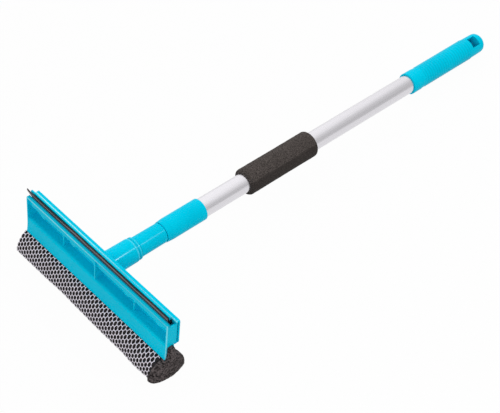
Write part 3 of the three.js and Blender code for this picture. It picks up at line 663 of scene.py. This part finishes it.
def knitted_net_tree():
    """Lays out a flat net from one cell, then wraps it round a path."""
    tree = bpy.data.node_groups.new("knitted_net", "GeometryNodeTree")
    face = tree.interface
    face.new_socket("Cell", in_out="INPUT", socket_type="NodeSocketGeometry")
    face.new_socket("Path", in_out="INPUT", socket_type="NodeSocketObject")
    for name in ("Left", "Pitch", "Row", "Start"):
        face.new_socket(name, in_out="INPUT", socket_type="NodeSocketFloat")
    for name in ("Holes Along", "Rows"):
        face.new_socket(name, in_out="INPUT", socket_type="NodeSocketInt")
    face.new_socket("Yarn", in_out="INPUT", socket_type="NodeSocketMaterial")
    face.new_socket("Net", in_out="OUTPUT", socket_type="NodeSocketGeometry")
    given = add(tree, "NodeGroupInput").outputs

    # Cells are numbered up each column in turn, and every other row is moved by half a pitch.
    known = {socket.name: socket for socket in given}
    known["number"] = add(tree, "GeometryNodeInputIndex").outputs["Index"]
    for name, operation, *values in (
        ("count", "MULTIPLY", "Holes Along", "Rows"),
        ("row", "MODULO", "number", "Rows"),
        ("number's middle", "ADD", "number", 0.5),
        ("columns passed", "DIVIDE", "number's middle", "Rows"),
        ("column", "FLOOR", "columns passed"),
        ("odd row", "MODULO", "row", 2),
        ("stagger", "MULTIPLY", "odd row", 0.5),
        ("steps", "ADD", "column", "stagger"),
        ("past left", "MULTIPLY", "steps", "Pitch"),
        ("x", "ADD", "Left", "past left"),
        ("past start", "MULTIPLY", "row", "Row"),
        ("y", "ADD", "Start", "past start"),
    ):
        numbers = {i: value for i, value in enumerate(values) if not isinstance(value, str)}
        links = {i: known[value] for i, value in enumerate(values) if isinstance(value, str)}
        known[name] = add(tree, "ShaderNodeMath", {"operation": operation} | numbers, links).outputs["Value"]
    points = add(tree, "GeometryNodePoints", {}, {"Count": known["count"]})
    flat = add(tree, "ShaderNodeCombineXYZ", {}, {"X": known["x"], "Y": known["y"]})
    laid = add(
        tree, "GeometryNodeSetPosition", {}, {"Geometry": points.outputs[0], "Position": flat.outputs["Vector"]}
    )
    cells = add(tree, "GeometryNodeInstanceOnPoints", {}, {"Points": laid.outputs[0], "Instance": given["Cell"]})
    real = add(tree, "GeometryNodeRealizeInstances", {}, {"Geometry": cells.outputs[0]})
    joined = add(tree, "GeometryNodeMergeByDistance", {"Distance": NET_MERGE * MM}, {"Geometry": real.outputs[0]})
    flat_place = add(tree, "GeometryNodeInputPosition")
    position = add(tree, "ShaderNodeSeparateXYZ", {}, {"Vector": flat_place.outputs[0]})
    path = add(tree, "GeometryNodeObjectInfo", {}, {"Object": given["Path"]})
    sample = add(
        tree,
        "GeometryNodeSampleCurve",
        {"mode": "LENGTH"},
        {"Curves": path.outputs["Geometry"], "Length": position.outputs["Y"]},
    )
    outwards = add(
        tree,
        "ShaderNodeVectorMath",
        {"operation": "CROSS_PRODUCT", 0: (1, 0, 0)},
        {1: sample.outputs["Tangent"]},
    )
    height = add(tree, "ShaderNodeMath", {"operation": "MULTIPLY", 1: -1}, {0: position.outputs["Z"]})
    lifted = add(
        tree,
        "ShaderNodeVectorMath",
        {"operation": "SCALE"},
        {0: outwards.outputs["Vector"], "Scale": height.outputs["Value"]},
    )
    along = add(tree, "ShaderNodeCombineXYZ", {}, {"X": position.outputs["X"]})
    on_path = add(
        tree,
        "ShaderNodeVectorMath",
        {"operation": "ADD"},
        {0: sample.outputs["Position"], 1: along.outputs["Vector"]},
    )
    wrapped = add(
        tree,
        "ShaderNodeVectorMath",
        {"operation": "ADD"},
        {0: on_path.outputs["Vector"], 1: lifted.outputs["Vector"]},
    )
    bent = add(
        tree, "GeometryNodeSetPosition", {}, {"Geometry": joined.outputs[0], "Position": wrapped.outputs["Vector"]}
    )
    whole = add(tree, "GeometryNodeRealizeInstances", {}, {"Geometry": bent.outputs[0]})
    dressed = add(tree, "GeometryNodeSetMaterial", {}, {"Geometry": whole.outputs[0], "Material": given["Yarn"]})
    add(tree, "NodeGroupOutput", {}, {"Net": dressed.outputs[0]})
    return tree


def use_tree(piece, tree, values):
    """Puts a node tree on a piece, with its inputs given by name."""
    modifier = piece.modifiers.new(tree.name, "NODES")
    modifier.node_group = tree
    for socket in tree.interface.items_tree:
        if socket.in_out == "INPUT" and socket.name in values:
            modifier[socket.identifier] = values[socket.name]


def sponge_net():
    """The knitted net, laid out flat and wrapped round the sponge in one piece."""
    curve = path_curve(net_path(), NET_SOLID_SKIN / 2)
    bpy.context.view_layer.update()
    points = curve.data.splines[0].points
    length = sum((b.co.xyz - a.co.xyz).length for a, b in zip(points, points[1:]))
    tuck = NET_TUCK * MM
    rows = int((length - 2 * tuck) / (NET_ROW * MM))
    holes = round((NET_RIGHT - NET_LEFT) / NET_PITCH - 0.5)
    head_middle = head_place.translation.x
    net = net_cell()
    net.name = "knitted_net"
    use_tree(
        net,
        knitted_net_tree(),
        {
            "Path": curve,
            "Left": head_middle + (NET_LEFT + NET_PITCH / 2) * MM,
            "Pitch": NET_PITCH * MM,
            "Row": NET_ROW * MM,
            "Start": tuck,
            "Holes Along": holes,
            "Rows": rows,
            "Yarn": net_yarn,
        },
    )
    with_modifiers(net)
    drawn_out(net)
    swelled(net)
    bpy.data.objects.remove(curve)
    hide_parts("sponge_net")
    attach(net, "head")
    return net


# ---- foam
def drawn_out(net):
    """At the back the net reaches nearly to the right end of the foam."""
    for v in net.data.vertices:
        x, y, z = to_head @ v.co / MM
        share = eased(x, *BACK_ALONG) * eased(y, *BACK_ROUND)
        v.co = at(x + NET_BACK_REACH * share, y, z)


def roughened(piece, size, height, swell=0.0):
    """Moves each point along its normal by smooth noise, as cut foam gives, and by a swell below the aprons."""
    mesh = piece.data
    moved = []
    for v in mesh.vertices:
        uneven = height * noise.noise(v.co / (size * MM), noise_basis="PERLIN_ORIGINAL")
        below = eased((to_head @ v.co).z / MM, *UNDER_APRONS)
        place = v.co + v.normal * (uneven + swell * below) * MM
        place.z = max(place.z, FOAM_CLEAR * MM)
        moved.append(place)
    for v, place in zip(mesh.vertices, moved):
        v.co = place


def swelled(piece):
    """Fills the sponge out along its front, fuller towards the right, and flares the bare foam past the net."""
    for v in piece.data.vertices:
        x, y, z = to_head @ v.co / MM
        low = eased(z, *BELLY)
        front = eased(y, *FRONT_HALF)
        full = curve_at(SPONGE_FULLNESS, x)
        bare = curve_at(SPONGE_FLARE, x)
        move_y = -full * low * front - bare * low * (front - FLARE_CORNER * eased(y, *REAR_CORNER))
        move_z = -FULL_SAG * full * low * front + FLARE_LIFT * bare * low * front
        crown = math.exp(-(((y - CROWN_MIDDLE) / CROWN_HALF) ** 2)) - CROWN_FALL * eased(y, *LOWER_FRONT) * low
        move_x = END_CROWN * crown * eased(x, *BARE_END)
        moved = at(x + move_x, y + move_y, z + move_z)
        moved.z = max(moved.z, min(v.co.z, SWELL_CLEAR * MM))
        v.co = moved


def sponge_body():
    """The foam under the net and its bare end, with the CAD solid's outline."""
    piece = new_piece("sponge_body", cad_copy("sponge"), sponge_foam)
    remesh = piece.modifiers.new("even_skin", "REMESH")
    remesh.mode = "VOXEL"
    remesh.voxel_size = SPONGE_VOXEL * MM
    with_modifiers(piece)
    smooth = piece.modifiers.new("soft_corners", "SMOOTH")
    smooth.factor = 0.5
    smooth.iterations = 3
    with_modifiers(piece)
    swelled(piece)
    roughened(piece, SPONGE_LUMP, SPONGE_UNEVEN, SPONGE_SWELL)
    smoothed(piece, 180)
    # Faces under the net take the darker copy: painted shade.
    piece.data.materials.append(foam_shaded_under_net)
    net_end = at(NET_RIGHT - 0.5, 0, 0).x
    for face in piece.data.polygons:
        face.material_index = int(face.center.x < net_end)
    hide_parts("sponge")
    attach(piece, "head")
    return piece


def foam_sleeve():
    """A foam sleeve with rounded ends and the least waist."""
    end = FOAM_START + FOAM_LENGTH
    outer = []
    steps = 40
    for step in range(steps + 1):
        y = FOAM_START + FOAM_ROUND + (FOAM_LENGTH - 2 * FOAM_ROUND) * step / steps
        waist = FOAM_WAIST * math.sin(math.pi * step / steps)
        outer.append((FOAM_RADIUS - waist, y))
    first = []
    for step in range(5):
        turn = math.pi / 2 * step / 5
        radius = FOAM_RADIUS - FOAM_ROUND * (1 - math.sin(turn))
        first.append((radius, FOAM_START + FOAM_ROUND * (1 - math.cos(turn))))
    last = [(r, 2 * FOAM_START + FOAM_LENGTH - y) for r, y in reversed(first)]
    bore = [(FOAM_BORE, end - (end - FOAM_START) * step / 12) for step in range(13)]
    piece = turned("foam_sleeve", first + outer + last + bore, grip_foam)
    roughened(piece, FOAM_LUMP, FOAM_UNEVEN)
    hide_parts("foam_grip")
    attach(piece, "pole")
    return piece


# ---- rubber blade
def blade_rubber():
    """Foot in the channel, lip above it: the lip waves a little along its length and turns up at its free end."""
    front = LIP_BACK + LIP_THICKNESS
    foot_top = CHANNEL_FLOOR + FOOT_HEIGHT
    lip = [
        (-LIP_BACK, LIP_ROOT),
        (-LIP_BACK - LIP_TAPER / 2, LIP_HALFWAY),
        (-LIP_BACK - LIP_TAPER, LIP_TOP - LIP_CHAMFER_DROP),
        (-LIP_BACK - LIP_CHAMFER, LIP_TOP),
        (-front + LIP_CHAMFER, LIP_TOP),
        (-front + LIP_TAPER, LIP_TOP - LIP_CHAMFER_DROP),
        (-front + LIP_TAPER / 2, LIP_HALFWAY),
        (-front, LIP_FRONT_ROOT),
    ]
    foot_back = [
        (-CHANNEL_FRONT, CHANNEL_FLOOR),
        (-CHANNEL_BACK, CHANNEL_FLOOR),
        (-CHANNEL_BACK, foot_top),
        (-LIP_BACK, foot_top),
    ]
    foot_front = [(-front - LIP_FILLET, foot_top), (-CHANNEL_FRONT, foot_top)]
    section = foot_back + lip + foot_front
    lip_first, lip_last = len(foot_back), len(foot_back) + len(lip) - 1
    bm = bmesh.new()

    def swung(x, wave):
        size, length, phase = wave
        return size * math.sin(x / length + phase)

    def waved(x, y, z):
        bent = min(max((z - LIP_ROOT) / LIP_BEND, 0), 1)
        free = max(0, (FREE_START - x) / FREE_RUN)
        cut = max(0, (BLADE_INSIDE_LEFT - x) / (BLADE_INSIDE_LEFT - BLADE_LEFT))
        forward = swung(x, LIP_WAVE) - curve_at(LIP_LEAN, x) - LIP_SWING * free
        upward = LIP_CURL * free * free + swung(x, LIP_RIPPLE)
        z += cut * LIP_CUT * max(0, 1 - (z - LIP_ROOT) / (LIP_TOP - LIP_ROOT))
        return at(x, y + bent * forward, z + bent * upward)

    def ring(points, x):
        return [bm.verts.new(waved(x, y, z)) for y, z in points]

    def skin(rings):
        for a, b in zip(rings, rings[1:]):
            for i in range(len(a)):
                j = (i + 1) % len(a)
                bm.faces.new((a[i], b[i], b[j], a[j]))

    def stations(low, high, step):
        count = max(1, round((high - low) / step))
        return [low + (high - low) * i / count for i in range(count + 1)]

    inside = [ring(section, x) for x in stations(BLADE_INSIDE_LEFT, BLADE_RIGHT, 2.0)]
    skin(inside)
    bm.faces.new(inside[-1])
    root = inside[0][lip_first : lip_last + 1]
    outside = [ring(lip, x) for x in stations(BLADE_LEFT, BLADE_INSIDE_LEFT, 0.8)[:-1]] + [root]
    skin(outside)
    bm.faces.new(list(reversed(outside[0])))
    bm.faces.new(inside[0][: lip_first + 1] + inside[0][lip_last:])
    bmesh.ops.remove_doubles(bm, verts=bm.verts, dist=1e-6)
    bmesh.ops.recalc_face_normals(bm, faces=bm.faces)
    piece = new_piece("blade_rubber", bm, rubber)
    piece.data.materials.append(rubber_painted_sheen)
    # The lip's front faces above a height take the lighter copy: painted sheen.
    for face in piece.data.polygons:
        forward = face.normal.dot(-up_the_pole)
        if forward > 0.9 and (to_head @ face.center).z > SHEEN_ABOVE * MM:
            face.material_index = 1
    smoothed(piece, 40)
    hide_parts("squeegee_blade")
    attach(piece, "head")
    return piece


# ---- pole
def tube():
    """One drawn tube, from inside the ferrule to inside the end grip."""
    inner = TUBE_RADIUS - TUBE_WALL
    piece = turned(
        "aluminium_tube",
        [(inner, TUBE_START), (TUBE_RADIUS, TUBE_START), (TUBE_RADIUS, TUBE_END), (inner, TUBE_END)],
        aluminium,
    )
    smoothed(piece, 40)
    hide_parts("pole_tube")
    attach(piece, "pole")
    return piece


# ---- everything
moulded("front_housing", "housing_moulding", "head")
cover = moulded("rear_cover", "cover_moulding", "head")
moulded("blade_strip", "strip_moulding", "head")
moulded("ferrule", "ferrule_moulding", "pole")
moulded("end_grip", "grip_moulding", "pole")
blade_rubber()
sponge_body()
sponge_net()
tube()
foam_sleeve()
for name, node in frame["nodes"].items():
    if name.startswith("cover_screw"):
        for socket in node.material_slots:
            socket.material = screw_steel


# ---- camera, floor and light
LENS = 105.154
CAMERA_PLACE = (689.77, -570.3, 1013.18)  # in the head's frame
AZIMUTH, ELEVATION, ROLL = 42.392, 45.888, -6.544  # in degrees, in the head's frame
FLOOR_HALF = 4  # the floor's half width, in metres
FLOOR_DROP = 0.0005
PAPER_TONE, PAPER_GLARE, PAPER_WHITE = 0.62, 0.94, 0.97  # as lit, as gloss sees it, and as the camera sees it
WHITE = (1, 1, 1, 1)
EVEN_LIGHT = 0.54  # from all round
WINDOW, WINDOW_LIGHT, WINDOW_FOCUS = (-0.76, 0.47, 0.45), 1.5, 3.0  # the way to it, how strong, how narrow
# What gloss sees: the way to the bright side, and the strengths on the dark side and on the rest.
BRIGHT_SIDE, DARK_WALL, WHITE_WALL = (-0.45, -2.0, 0.6), 0.6, 1.18
DARK_TO, WHITE_FROM = -0.99, -0.8


def camera():
    """Placed and turned in the head's frame, rolled a little."""
    data = bpy.data.cameras.new("camera")
    data.sensor_width = 36
    data.lens = LENS
    data.clip_start = 0.05
    data.clip_end = 50
    made = bpy.data.objects.new("camera", data)
    bpy.context.scene.collection.objects.link(made)
    azimuth, elevation, roll = (math.radians(turn) for turn in (AZIMUTH, ELEVATION, ROLL))
    aim = Matrix.Rotation(azimuth, 4, "Z") @ Matrix.Rotation(math.pi / 2 - elevation, 4, "X")
    place = Matrix.Translation(Vector(CAMERA_PLACE) * MM)
    made.matrix_world = head_place @ place @ aim @ Matrix.Rotation(-roll, 4, "Z")
    bpy.context.scene.camera = made


def seen_as(tree, rays, shader, other, share=1.0):
    """Mixes another shader into a shader, for one kind of ray only."""
    amount = add(tree, "ShaderNodeMath", {"operation": "MULTIPLY", 1: share}, {0: rays})
    links = {"Fac": amount.outputs[0], 1: shader.outputs[0], 2: other.outputs[0]}
    return add(tree, "ShaderNodeMixShader", {}, links)


def floor():
    """White paper that keeps the object's shadow."""
    bm = bmesh.new()
    bmesh.ops.create_grid(bm, x_segments=1, y_segments=1, size=FLOOR_HALF)
    material, tree = new_material("paper_backdrop_white")
    paper = add(tree, "ShaderNodeBsdfDiffuse", {"Color": (PAPER_TONE, PAPER_TONE, PAPER_TONE, 1)})
    glare = add(tree, "ShaderNodeEmission", {"Color": WHITE, "Strength": PAPER_GLARE})
    white = add(tree, "ShaderNodeEmission", {"Color": WHITE, "Strength": 1.0})
    rays = add(tree, "ShaderNodeLightPath").outputs
    mixed = seen_as(tree, rays["Is Glossy Ray"], paper, glare)
    mixed = seen_as(tree, rays["Is Camera Ray"], mixed, white, PAPER_WHITE)
    add(tree, "ShaderNodeOutputMaterial", {}, {"Surface": mixed.outputs[0]})
    made = new_piece("floor", bm, material, smooth=False)
    made.data.transform(Matrix.Translation((0, 0, -FLOOR_DROP)))


def lamp(name, place, size, energy):
    """A round soft lamp that faces the object. In metres and watts."""
    data = bpy.data.lights.new(name, "AREA")
    data.shape = "DISK"
    data.size = size
    data.energy = energy
    made = bpy.data.objects.new(name, data)
    bpy.context.scene.collection.objects.link(made)
    direction = Vector((0, 0, 0.03)) - Vector(place)
    made.matrix_world = Matrix.Translation(place) @ direction.to_track_quat("-Z", "Y").to_matrix().to_4x4()
    return made


def glint(place, size, energy, piece):
    """A lamp that draws only the highlight on one piece."""
    made = lamp("glint", place, size, energy)
    made.visible_diffuse = False
    shiny = bpy.data.collections.new("shiny_piece")
    shiny.objects.link(piece)
    made.light_linking.receiver_collection = shiny


def world():
    """White light, stronger from the left. Gloss sees a room with one darker side, and the camera plain white."""
    studio = bpy.data.worlds.new("studio")
    bpy.context.scene.world = studio
    studio.use_nodes = True
    tree = studio.node_tree
    tree.nodes.clear()
    rays = add(tree, "ShaderNodeLightPath").outputs
    way = {0: add(tree, "ShaderNodeTexCoord").outputs["Generated"]}
    window = add(tree, "ShaderNodeVectorMath", {"operation": "DOT_PRODUCT", 1: WINDOW}, way)
    facing = add(tree, "ShaderNodeMath", {"operation": "MAXIMUM", 1: 0.0}, {0: window.outputs["Value"]})
    lobe = add(tree, "ShaderNodeMath", {"operation": "POWER", 1: WINDOW_FOCUS}, {0: facing.outputs["Value"]})
    level = add(
        tree,
        "ShaderNodeMath",
        {"operation": "MULTIPLY_ADD", 1: WINDOW_LIGHT, 2: EVEN_LIGHT},
        {0: lobe.outputs["Value"]},
    )
    soft = add(tree, "ShaderNodeBackground", {"Color": WHITE}, {"Strength": level.outputs["Value"]})
    bright_side = add(tree, "ShaderNodeVectorMath", {"operation": "DOT_PRODUCT", 1: BRIGHT_SIDE}, way)
    walls = add(
        tree,
        "ShaderNodeMapRange",
        {"From Min": DARK_TO, "From Max": WHITE_FROM, "To Min": DARK_WALL, "To Max": WHITE_WALL},
        {"Value": bright_side.outputs["Value"]},
    )
    room = add(tree, "ShaderNodeBackground", {"Color": WHITE}, {"Strength": walls.outputs["Result"]})
    white = add(tree, "ShaderNodeBackground", {"Color": WHITE, "Strength": 1.0})
    mixed = seen_as(tree, rays["Is Glossy Ray"], soft, room)
    mixed = seen_as(tree, rays["Is Camera Ray"], mixed, white)
    add(tree, "ShaderNodeOutputWorld", {}, {"Surface": mixed.outputs[0]})


camera()
floor()
world()
lamp("key", place=(0.80, 0.56, 1.2), size=0.05, energy=5.5).visible_glossy = False
glint(place=(0.80, 0.53, 1.2), size=0.06, energy=26, piece=cover)
lamp("fill", place=(0.7, -1.5, 0.8), size=1.6, energy=9)
bpy.context.scene.view_settings.view_transform = "Standard"
